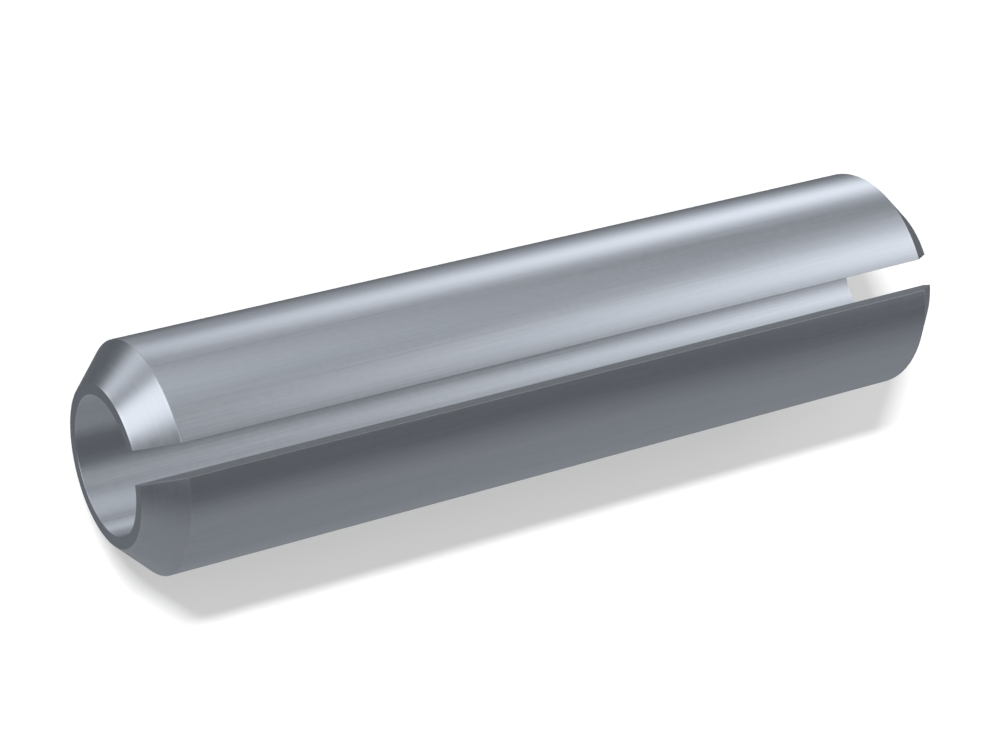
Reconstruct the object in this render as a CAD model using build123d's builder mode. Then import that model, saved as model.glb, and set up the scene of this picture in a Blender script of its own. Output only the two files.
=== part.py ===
"""Slotted spring pin: a tube rolled from spring steel strip, with a lead-in cone at each end.

Millimetres. The origin is on the pin's axis at mid length. X runs along the axis,
and the open slot faces straight up, along +Z.
"""

import math
import os

from build123d import *

# Driving dimensions
pin_diameter = 20.0
pin_length = 80.0
strip_thickness = 4.0
slot_width = 2.84
lead_in_length = 3.0
lead_in_angle = 45.0
sheared_edge_radius = 0.1

# Sizes that follow from them
outer_radius = pin_diameter / 2
bore_radius = outer_radius - strip_thickness
end_radius = outer_radius - lead_in_length * math.tan(math.radians(lead_in_angle))
end_x = pin_length / 2
cone_base_x = end_x - lead_in_length


with BuildPart() as spring_pin:
    # The wall's profile along the pin, turned once round the axis: bore, flat end, cone, shank
    with BuildSketch(Plane.XZ):
        with BuildLine():
            Polyline(
                (-end_x, bore_radius),
                (-end_x, end_radius),
                (-cone_base_x, outer_radius),
                (cone_base_x, outer_radius),
                (end_x, end_radius),
                (end_x, bore_radius),
                close=True,
            )
        make_face()
    revolve(axis=Axis.X)

    # The slot where the strip's two edges face each other, with parallel walls from end to end
    with BuildSketch(Plane.XY):
        Rectangle(pin_length, slot_width)
    extrude(amount=outer_radius, mode=Mode.SUBTRACT)

    # The strip's sheared edges are slightly rounded
    strip_edge_faces = spring_pin.faces().filter_by(Axis.Y)
    fillet(strip_edge_faces.edges(), radius=sheared_edge_radius)

spring_pin.part.label = "spring_pin"

os.makedirs("parts", exist_ok=True)
export_step(spring_pin.part, "parts/spring_pin.step")
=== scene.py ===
"""Looks for the slotted spring pin: satin spring steel under soft studio panels, on a white floor.

Metres, in the part's own frame. The pin lies along X with its slot straight up, +Z.
"""

import math

import bpy
import numpy as np
from mathutils import Matrix, Vector


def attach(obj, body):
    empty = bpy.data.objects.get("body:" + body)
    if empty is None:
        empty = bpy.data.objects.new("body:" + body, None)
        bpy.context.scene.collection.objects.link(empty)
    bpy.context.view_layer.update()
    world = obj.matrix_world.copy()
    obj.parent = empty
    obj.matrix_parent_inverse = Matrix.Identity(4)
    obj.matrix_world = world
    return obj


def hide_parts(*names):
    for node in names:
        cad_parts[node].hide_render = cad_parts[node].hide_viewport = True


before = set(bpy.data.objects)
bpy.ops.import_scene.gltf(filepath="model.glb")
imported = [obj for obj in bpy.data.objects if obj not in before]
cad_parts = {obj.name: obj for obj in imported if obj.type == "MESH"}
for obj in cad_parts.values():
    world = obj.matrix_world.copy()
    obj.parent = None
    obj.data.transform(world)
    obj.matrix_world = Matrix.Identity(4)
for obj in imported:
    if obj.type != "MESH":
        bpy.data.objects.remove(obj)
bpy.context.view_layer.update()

MM = 0.001

# The pin, as in the solid, in millimetres
PIN_RADIUS = 10.0
BORE_RADIUS = 6.0
HALF_LENGTH = 40.0
LEAD_IN = 3.0
HALF_SLOT = 1.42
SHOULDER = HALF_LENGTH - LEAD_IN

# How far the mesh rounds its rims and sheared edges, in millimetres
RIM_RADIUS = 0.05
EDGE_RADIUS = 0.02

# Points of the mesh on each half of an end face, each cone and the shank
END_POINTS = 2
CONE_POINTS = 6
SHANK_POINTS = 36
# Steps round each rim, each sheared edge and the whole pin
RIM_STEPS = 4
EDGE_STEPS = 4
TURN_STEPS = 240
# The profile's last point on the first rim
RIM_LAST = END_POINTS + 1 + RIM_STEPS

# Base colours of the steel, and the tint it takes towards grazing angles
STEEL_DARK = (0.524, 0.568, 0.636, 1)
STEEL_LIGHT = (0.560, 0.602, 0.668, 1)
STEEL_BURNISHED = (0.600, 0.635, 0.690, 1)
STEEL_GRAZING = (0.93, 0.96, 1.0, 1)

# Marks in the steel: how fine each noise is, per millimetre along X, Y and Z
DRAWN_MARKS = (0.06, 6.0, 6.0)
SHEARED_MARKS = (5.0, 0.0, 0.35)
ROLLED_STREAKS = (0.02, 0.45, 0.45)
HARDENED_MOTTLE = (1.6, 1.6, 1.6)
TORN_WAVE = (0.9, 0.0, 0.0)
# Marks turned round the cones: across their rings, and along them
TURNED_ACROSS = 6.0
TURNED_ALONG = 0.15

# Each noise's share in the steel's tone
GRAIN_SHARE = 0.4
STREAK_SHARE = 0.35
MOTTLE_SHARE = 0.25
# The tones where the steel is darkest and lightest, and its roughness there
TONE_RANGE = (0.38, 0.62)
ROUGHNESS_RANGE = (0.195, 0.23)

# Rubbed bands beside the corners, their width in millimetres
RUB_WIDTH = 0.25
# The shoulder's band is weaker, and stays within these depths below the shank's surface
SHOULDER_RUB = 0.45
SHOULDER_RUB_DEPTHS = (0.5, 0.2)
# The bands are patchy as the mottle is, and a little smoother than the rest
RUB_PATCHES = (0.35, 0.65)
RUB_LEAST = 0.25
RUBBED_SMOOTHER = 0.03

# Sheared edges are torn inside a wavy border, at this radius less the wave, and burnished outside it
TORN_BORDER = (9.4, 9.1)
TORN_ROUGHER = 0.04
TORN_RELIEF = 1.5
# The burnished band is streaked as its grain is, between these shares
BURNISHED_STROKES = (0.3, 0.6)
BURNISHED_SHARES = (0.2, 0.8)

# Where one kind of surface passes into the next, in millimetres
SHOULDER_BLEND = 0.05
BORE_BLEND = (0.03, 0.1)
EDGE_BLEND = 0.04
END_FACE_BLEND = 0.01

# Relief of the marks, with those turned round the cones shallower
TURNED_RELIEF = 0.5
BUMP_STRENGTH = 0.25
BUMP_DEPTH = 0.01 * MM

# The floor and its backdrop, and how far they reach in metres
STAGE_REACH = 3.0
STAGE_WHITE = (1, 1, 1, 1)
# The floor's own grey, and the glow that brings it up to white where the key light falls
FLOOR_GREY = (0.52, 0.52, 0.52, 1)
FLOOR_GLOW = 0.37

# The studio's own upward direction leans towards +Y, as the pin was rolled in the photograph
STUDIO_UP = Vector((0, 0.930, 0.368))
STUDIO_BACK = Vector((0, 0.368, -0.930))
STUDIO_RIGHT = Vector((1, 0, 0))

# Soft panels: azimuth, elevation, half width, half height, softness of the edges (degrees), strength
PANELS = [
    (43, 31, 12, 12, 15, 1.22),
    (114, 20, 21, 28, 13, 1.22),
    (-83, 19, 15, 25, 7.5, 1.08),
    (-38, 28, 12, 5, 12, 0.86),
    (-121, 7, 12, 13, 9, 0.18),
    (23, 10, 17, 9, 13, 0.22),
    (-150, 14, 20, 14, 12, 0.8),
    (-165, 34, 18, 12, 12, 0.7),
    (-176, -44, 14, 7, 13, 0.30),
]
# The room without its panels: height, from straight down to straight up, and brightness
FLOOR_TO_CEILING = [
    (-1.0, 0.335),
    (-0.75, 0.33),
    (-0.5, 0.24),
    (-0.35, 0.17),
    (0.1, 0.17),
    (0.3, 0.22),
    (0.55, 0.44),
    (0.8, 0.36),
    (1.0, 0.85),
]
# The panels are a little warm, and the room's dimmest parts a little blue
PANEL_TINT = (1.011, 1.0, 0.991)
DIM_TINT = (0.982, 1.0, 1.02)
DIM_LEVEL = 0.17
PLAIN_LEVEL = 0.33

# The key light is a long narrow strip far off, made of three suns side by side
KEY_SLANTS = (0.38, 0.46, 0.54)
# The slants above are how far each one's light goes along X as it falls by 1, and this is along Y
KEY_ACROSS = -0.512
# Each sun's width in degrees, and the energy of all three
KEY_ANGLE = 3.5
KEY_ENERGY = 3.4

# The camera, as the outlines in the photograph place it, in millimetres
CAMERA_PLACE = (-122.68, 24.73, 224.00)
LENS = 104.86
SENSOR_WIDTH = 36.0
CLIP_START = 5.0
# In degrees, its turn about the vertical, its tip up from straight down, and its roll about its own view
CAMERA_TURN = -101.908
CAMERA_TIP = 28.745
CAMERA_ROLL = 89.442


def turn(degrees, axis):
    return Matrix.Rotation(math.radians(degrees), 4, axis)


def link(obj):
    bpy.context.scene.collection.objects.link(obj)
    return obj


def corner_arc(corner, before, after, radius, steps):
    """Points and normals of a small arc that rounds one corner of the wall's profile."""
    corner, before, after = (np.array(p, float) for p in (corner, before, after))
    a = (before - corner) / np.linalg.norm(before - corner)
    b = (after - corner) / np.linalg.norm(after - corner)
    half = math.acos(float(np.clip(a @ b, -1, 1))) / 2
    reach = radius / math.tan(half)
    middle = (a + b) / np.linalg.norm(a + b)
    centre = corner + middle * radius / math.sin(half)
    start = corner + a * reach - centre
    end = corner + b * reach - centre
    sweep = math.pi - 2 * half
    rows = []
    for k in range(steps + 1):
        t = k / steps
        p = (math.sin((1 - t) * sweep) * start + math.sin(t * sweep) * end) / math.sin(sweep)
        rows.append((*(centre + p), *(p / radius)))
    return rows


def straight(start, end, normal, count):
    """Inner points of one straight stretch of the profile."""
    return [
        (*(s + (e - s) * k / (count + 1) for s, e in zip(start, end)), *normal)
        for k in range(1, count + 1)
    ]


def wall_profile():
    """The wall's closed profile, from the middle of one end face, outside first: x, radius, normal."""
    end_radius = PIN_RADIUS - LEAD_IN
    middle = (end_radius + BORE_RADIUS) / 2
    corners = [
        (-HALF_LENGTH, middle),
        (-HALF_LENGTH, end_radius),
        (-SHOULDER, PIN_RADIUS),
        (SHOULDER, PIN_RADIUS),
        (HALF_LENGTH, end_radius),
        (HALF_LENGTH, middle),
        (HALF_LENGTH, BORE_RADIUS),
        (-HALF_LENGTH, BORE_RADIUS),
        (-HALF_LENGTH, middle),
    ]
    # The run from each corner to the next: its normal, and how many points it has of its own
    slope = math.sqrt(0.5)
    runs = [
        ((-1, 0), END_POINTS),
        ((-slope, slope), CONE_POINTS),
        ((0, 1), SHANK_POINTS),
        ((slope, slope), CONE_POINTS),
        ((1, 0), END_POINTS),
        ((1, 0), END_POINTS),
        ((0, -1), 0),
        ((-1, 0), END_POINTS),
    ]
    # Which of those runs are the far cone, the far end's outer half and the bore
    far_cone, far_end, bore = 3, 4, 6
    rows = [(*corners[0], -1, 0)]
    for k, (normal, count) in enumerate(runs):
        if k == bore:
            # The bore has a point under each one between the outer rims
            over_bore = rows[RIM_LAST + 1:far_rim]
            rows += [(row[0], BORE_RADIUS, *normal) for row in reversed(over_bore)]
        else:
            rows += straight(corners[k], corners[k + 1], normal, count)
        if k == far_cone:
            far_rim = len(rows)
        if k == far_end:
            rows.append((*corners[k + 1], *normal))
        elif k + 2 < len(corners):
            rows += corner_arc(corners[k + 1], corners[k], corners[k + 2], RIM_RADIUS, RIM_STEPS)
    return np.array(rows)


def edge_rings(profile, side):
    """Points and normals of the rings round one sheared edge, from its flat face out to the body."""
    still = np.zeros(len(profile))
    rings = []
    for a in np.linspace(math.pi / 2, 0, EDGE_STEPS + 1):
        inset = EDGE_RADIUS * (1 - math.cos(a))
        flat = profile[:, :2] - profile[:, 2:] * inset
        y = np.full(len(profile), HALF_SLOT + EDGE_RADIUS * (1 - math.sin(a)))
        z = np.sqrt(flat[:, 1] ** 2 - y**2)
        points = np.stack([flat[:, 0], side * y, z], 1)
        radial = np.stack([still, side * y, z], 1) / flat[:, 1:2]
        normal = profile[:, 2:3] * [[1, 0, 0]] + profile[:, 3:4] * radial
        normal = normal * math.cos(a) + np.array([[0, -side, 0]]) * math.sin(a)
        rings.append((points, normal / np.linalg.norm(normal, axis=1, keepdims=True)))
    return rings


def body_rings(profile):
    """Points and normals of the rings round the body, from one sheared edge to the other."""
    still = np.zeros(len(profile))
    first = np.arcsin((HALF_SLOT + EDGE_RADIUS) / profile[:, 1])
    rings = []
    for t in np.linspace(0, 1, TURN_STEPS + 1)[1:-1]:
        angle = first + (2 * math.pi - 2 * first) * t
        radial = np.stack([still, np.sin(angle), np.cos(angle)], 1)
        points = radial * profile[:, 1:2]
        points[:, 0] = profile[:, 0]
        normal = profile[:, 3:4] * radial
        normal[:, 0] = profile[:, 2]
        rings.append((points, normal))
    return rings


def edge_caps(n):
    """A sheared edge's flat face: one polygon at either end, and quads across the wall between them."""
    half = n // 2
    near = [*range(n - RIM_LAST, n), *range(RIM_LAST + 1)]
    far = [*range(half - RIM_LAST, half + RIM_LAST + 1)]
    return [near, far, *([k, k + 1, n - k - 1, n - k] for k in range(RIM_LAST, half - RIM_LAST))]


def pin_mesh():
    profile = wall_profile()
    n = len(profile)
    rings = edge_rings(profile, 1) + body_rings(profile) + edge_rings(profile, -1)[::-1]
    vertices = np.concatenate([points for points, _ in rings]) * MM
    normals = np.concatenate([normal for _, normal in rings])
    faces = []
    for j in range(len(rings) - 1):
        for k in range(n):
            m = (k + 1) % n
            faces.append((j * n + k, j * n + m, (j + 1) * n + m, (j + 1) * n + k))
    last = (len(rings) - 1) * n
    for cap in edge_caps(n):
        faces.append(cap[::-1])
        faces.append([last + k for k in cap])
    mesh = bpy.data.meshes.new("pin_body")
    mesh.from_pydata(vertices.tolist(), [], faces)
    mesh.validate()
    mesh.update()
    mesh.polygons.foreach_set("use_smooth", [True] * len(mesh.polygons))
    mesh.normals_split_custom_set_from_vertices(normals.tolist())
    return mesh


class Nodes:
    """A short way to write node trees."""

    def __init__(self, tree):
        self.tree = tree
        tree.nodes.clear()

    def add(self, kind, inputs=(), **settings):
        node = self.tree.nodes.new(kind)
        for key, value in settings.items():
            setattr(node, key, value)
        for key, value in dict(inputs).items():
            socket = node.inputs[key]
            if isinstance(value, bpy.types.NodeSocket):
                self.tree.links.new(value, socket)
            else:
                socket.default_value = value
        return node

    def math(self, operation, *values):
        return self.add("ShaderNodeMath", dict(enumerate(values)), operation=operation).outputs[0]

    def vector(self, operation, *values, output=0):
        node = self.add("ShaderNodeVectorMath", dict(enumerate(values)), operation=operation)
        return node.outputs[output]

    def join(self, *parts):
        return self.add("ShaderNodeCombineXYZ", dict(enumerate(parts))).outputs[0]

    def remap(self, value, low, high, to_low=0.0, to_high=1.0, smooth=True):
        inputs = {0: value, 1: low, 2: high, 3: to_low, 4: to_high}
        kind = "SMOOTHSTEP" if smooth else "LINEAR"
        return self.add("ShaderNodeMapRange", inputs, interpolation_type=kind).outputs[0]

    def noise(self, place, detail, roughness=0.5):
        inputs = {"Vector": place, "Scale": 1.0, "Detail": detail, "Roughness": roughness}
        return self.add("ShaderNodeTexNoise", inputs).outputs[0]

    def mix_places(self, factor, one, other):
        """Mix's sockets go by number, as each kind of data has its own under the same names."""
        return self.add("ShaderNodeMix", {0: factor, 4: one, 5: other}, data_type="VECTOR").outputs[1]

    def mix_colours(self, factor, one, other):
        return self.add("ShaderNodeMix", {0: factor, 6: one, 7: other}, data_type="RGBA").outputs[2]


def new_material(name):
    material = bpy.data.materials.new(name)
    material.use_nodes = True
    return material, Nodes(material.node_tree)


def rubbed_rims(t, along, aside, radius, above, on_strip_edge):
    """Where handling has rubbed the steel brighter: narrow bands beside the pin's corners."""
    from_shoulder = t.math("ABSOLUTE", t.math("SUBTRACT", along, SHOULDER))
    deep, shallow = SHOULDER_RUB_DEPTHS
    shoulder = t.math(
        "MULTIPLY",
        t.remap(from_shoulder, RUB_WIDTH, 0, 0, SHOULDER_RUB),
        t.remap(radius, PIN_RADIUS - deep, PIN_RADIUS - shallow),
    )
    end = t.math(
        "MULTIPLY",
        t.remap(along, HALF_LENGTH - RUB_WIDTH, HALF_LENGTH),
        t.remap(along, HALF_LENGTH - END_FACE_BLEND, HALF_LENGTH - 2 * END_FACE_BLEND),
    )
    beside_slot = t.math("MULTIPLY", t.remap(aside, HALF_SLOT + RUB_WIDTH, HALF_SLOT), above)
    wall_corner = t.math(
        "MAXIMUM",
        t.remap(radius, PIN_RADIUS - RUB_WIDTH, PIN_RADIUS),
        t.remap(radius, BORE_RADIUS + RUB_WIDTH, BORE_RADIUS),
    )
    plain = t.math("SUBTRACT", 1.0, on_strip_edge)
    slot = t.math(
        "MAXIMUM",
        t.math("MULTIPLY", beside_slot, plain),
        t.math("MULTIPLY", wall_corner, on_strip_edge),
    )
    return t.math("MAXIMUM", t.math("MAXIMUM", shoulder, end), slot)


def steel_material():
    """Satin spring steel, drawn lengthwise, with marks round the cones and across the sheared edges."""
    material, t = new_material("spring_steel")
    in_metres = t.add("ShaderNodeTexCoord").outputs["Object"]
    place = t.vector("MULTIPLY", in_metres, (1 / MM, 1 / MM, 1 / MM))
    x, y, z = t.add("ShaderNodeSeparateXYZ", {0: place}).outputs
    along = t.math("ABSOLUTE", x)
    aside = t.math("ABSOLUTE", y)
    radius = t.vector("LENGTH", t.join(0.0, y, z), output="Value")
    above = t.remap(z, 0, 1)
    bore_from, bore_to = BORE_BLEND
    on_cone = t.math(
        "MULTIPLY",
        t.remap(along, SHOULDER - SHOULDER_BLEND, SHOULDER + SHOULDER_BLEND),
        t.remap(radius, BORE_RADIUS + bore_from, BORE_RADIUS + bore_to),
    )
    on_strip_edge = t.math("MULTIPLY", t.remap(aside, HALF_SLOT + EDGE_BLEND, HALF_SLOT), above)

    # Fine marks, each as long as a stroke and a fraction of a millimetre wide
    drawn = t.vector("MULTIPLY", place, DRAWN_MARKS)
    round_cone = t.math("MULTIPLY", t.math("SUBTRACT", along, radius), TURNED_ACROSS)
    turned = t.join(round_cone, t.math("MULTIPLY", y, TURNED_ALONG), t.math("MULTIPLY", z, TURNED_ALONG))
    sheared = t.vector("MULTIPLY", place, SHEARED_MARKS)
    marks = t.mix_places(on_strip_edge, t.mix_places(on_cone, drawn, turned), sheared)
    grain = t.noise(marks, detail=3.0, roughness=0.6)

    # Broad, faint streaks from rolling, and a fine mottle left by hardening
    streaks = t.noise(t.vector("MULTIPLY", place, ROLLED_STREAKS), detail=3.0)
    mottle = t.noise(t.vector("MULTIPLY", place, HARDENED_MOTTLE), detail=4.0, roughness=0.65)
    tone = t.math(
        "ADD",
        t.math("MULTIPLY", grain, GRAIN_SHARE),
        t.math("ADD", t.math("MULTIPLY", streaks, STREAK_SHARE), t.math("MULTIPLY", mottle, MOTTLE_SHARE)),
    )
    colour = t.mix_colours(t.remap(tone, *TONE_RANGE), STEEL_DARK, STEEL_LIGHT)
    rims = rubbed_rims(t, along, aside, radius, above, on_strip_edge)
    rubbed = t.math("MULTIPLY", rims, t.remap(mottle, *RUB_PATCHES, to_low=RUB_LEAST))
    colour = t.mix_colours(rubbed, colour, STEEL_BURNISHED)
    satin = t.remap(tone, *TONE_RANGE, *ROUGHNESS_RANGE)
    roughness = t.math("SUBTRACT", satin, t.math("MULTIPLY", rubbed, RUBBED_SMOOTHER))
    relief = t.math("MULTIPLY", grain, t.remap(on_cone, 0, 1, 1.0, TURNED_RELIEF))

    # Shearing leaves a burnished band beside the outer corner and a rougher torn one below it
    wave = t.noise(t.vector("MULTIPLY", place, TORN_WAVE), detail=3.0)
    torn = t.math("MULTIPLY", on_strip_edge, t.remap(t.math("ADD", radius, wave), *TORN_BORDER))
    burnished = t.math("SUBTRACT", on_strip_edge, torn)
    burnished = t.math("MULTIPLY", burnished, t.remap(grain, *BURNISHED_STROKES, *BURNISHED_SHARES))
    colour = t.mix_colours(burnished, colour, STEEL_BURNISHED)
    roughness = t.math("ADD", roughness, t.math("MULTIPLY", torn, TORN_ROUGHER))
    relief = t.math("ADD", relief, t.math("MULTIPLY", t.math("MULTIPLY", torn, mottle), TORN_RELIEF))
    bump = t.add("ShaderNodeBump", {"Strength": BUMP_STRENGTH, "Distance": BUMP_DEPTH, "Height": relief})
    shader = t.add(
        "ShaderNodeBsdfPrincipled",
        {
            "Metallic": 1.0,
            "Roughness": roughness,
            "Base Color": colour,
            "Normal": bump.outputs[0],
            "Specular Tint": STEEL_GRAZING,
        },
    )
    t.add("ShaderNodeOutputMaterial", {"Surface": shader.outputs[0]})
    return material


def background_rays(t):
    """1 for the rays that show a background: the camera's own, and those by way of metal and glass."""
    path = t.add("ShaderNodeLightPath").outputs
    mirrored = t.math("MAXIMUM", path["Is Camera Ray"], path["Is Glossy Ray"])
    return t.math("MAXIMUM", mirrored, path["Is Transmission Ray"])


def floor_material():
    material, t = new_material("floor_white")
    lit = t.add("ShaderNodeBsdfDiffuse", {"Color": FLOOR_GREY})
    strength = t.math("MULTIPLY", background_rays(t), FLOOR_GLOW)
    glow = t.add("ShaderNodeEmission", {"Color": STAGE_WHITE, "Strength": strength})
    both = t.add("ShaderNodeAddShader", {0: lit.outputs[0], 1: glow.outputs[0]})
    t.add("ShaderNodeOutputMaterial", {"Surface": both.outputs[0]})
    return material


def backdrop_material():
    material, t = new_material("backdrop_white")
    glow = t.add("ShaderNodeEmission", {"Color": STAGE_WHITE, "Strength": background_rays(t)})
    t.add("ShaderNodeOutputMaterial", {"Surface": glow.outputs[0]})
    return material


def make_world():
    """The studio that the steel mirrors: soft panels in a room that is dim about its horizon."""
    world = bpy.data.worlds.new("studio")
    bpy.context.scene.world = world
    world.use_nodes = True
    t = Nodes(world.node_tree)
    look = t.add("ShaderNodeTexCoord").outputs["Generated"]

    def towards(direction):
        return t.vector("DOT_PRODUCT", look, tuple(direction), output="Value")

    height = t.remap(towards(STUDIO_UP), -1, 1, 0, 1, smooth=False)
    ramp = t.add("ShaderNodeValToRGB", {"Fac": height})
    stops = ramp.color_ramp.elements
    ready = len(stops)
    for k, (level, value) in enumerate(FLOOR_TO_CEILING):
        place = (level + 1) / 2
        stop = stops[k] if k < ready else stops.new(place)
        stop.position = place
        plain = min(1, (value - DIM_LEVEL) / (PLAIN_LEVEL - DIM_LEVEL))
        stop.color = (*(value * (tint + (1 - tint) * plain) for tint in DIM_TINT), 1)
    light = ramp.outputs[0]
    for azimuth, elevation, wide, tall, soft, strength in PANELS:
        a, e = math.radians(azimuth), math.radians(elevation)
        flat = STUDIO_BACK * math.cos(a) + STUDIO_RIGHT * math.sin(a)
        facing = flat * math.cos(e) + STUDIO_UP * math.sin(e)
        side = STUDIO_RIGHT * math.cos(a) - STUDIO_BACK * math.sin(a)
        top = STUDIO_UP * math.cos(e) - flat * math.sin(e)
        ahead = towards(facing)
        glow = strength
        for direction, half in ((side, wide), (top, tall)):
            angle = t.math("ARCTAN2", t.math("ABSOLUTE", towards(direction)), ahead)
            inside = t.remap(angle, math.radians(half + soft), math.radians(half - soft))
            glow = t.math("MULTIPLY", inside, glow)
        light = t.vector("ADD", light, t.vector("MULTIPLY", PANEL_TINT, glow))
    back = t.add("ShaderNodeBackground", {"Color": light, "Strength": 1.0})
    t.add("ShaderNodeOutputWorld", {"Surface": back.outputs[0]})
    world.cycles.sampling_method = "NONE"


def stage_object(name, places, faces, material):
    """A part of the stage, which the steel doesn't mirror and which casts no shadow."""
    mesh = bpy.data.meshes.new(name)
    mesh.from_pydata(places, [], faces)
    mesh.materials.append(material)
    obj = link(bpy.data.objects.new(name, mesh))
    obj.visible_glossy = False
    obj.visible_shadow = False
    return obj


pin = link(bpy.data.objects.new("pin_body", pin_mesh()))
pin.data.materials.append(steel_material())
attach(pin, "root")
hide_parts("spring_pin")
pin.visible_glossy = False

# The floor's corners, and those of the backdrop's ceiling over them
stage_corners = ((-1, -1), (1, -1), (1, 1), (-1, 1))
low = [(x * STAGE_REACH, y * STAGE_REACH, -PIN_RADIUS * MM) for x, y in stage_corners]
high = [(x, y, STAGE_REACH) for x, y, _ in low]
floor = stage_object("floor", low, [(0, 1, 2, 3)], floor_material())

# A white backdrop stands round and over the floor for views from low down, and lights nothing
walls = [(k, (k + 1) % 4, (k + 1) % 4 + 4, k + 4) for k in range(4)]
backdrop = stage_object("backdrop", low + high, [*walls, (4, 5, 6, 7)], backdrop_material())
backdrop.visible_diffuse = False

make_world()

for k, slant in enumerate(KEY_SLANTS):
    key = bpy.data.lights.new("key_%d" % k, "SUN")
    key.angle = math.radians(KEY_ANGLE)
    key.energy = KEY_ENERGY / len(KEY_SLANTS)
    key_object = link(bpy.data.objects.new(key.name, key))
    travel = Vector((slant, KEY_ACROSS, -1.0))
    key_object.rotation_euler = travel.to_track_quat("-Z", "Y").to_euler()
    key_object.visible_glossy = False

camera = bpy.data.cameras.new("camera")
camera.lens = LENS
camera.sensor_width = SENSOR_WIDTH
camera.clip_start = CLIP_START * MM
camera_object = link(bpy.data.objects.new("camera", camera))
camera_object.matrix_world = (
    Matrix.Translation(Vector(CAMERA_PLACE) * MM)
    @ turn(CAMERA_TURN, "Z")
    @ turn(CAMERA_TIP, "X")
    @ turn(CAMERA_ROLL, "Z")
)
bpy.context.scene.camera = camera_object

bpy.context.scene.view_settings.view_transform = "Standard"


bpy.context.view_layer.update()
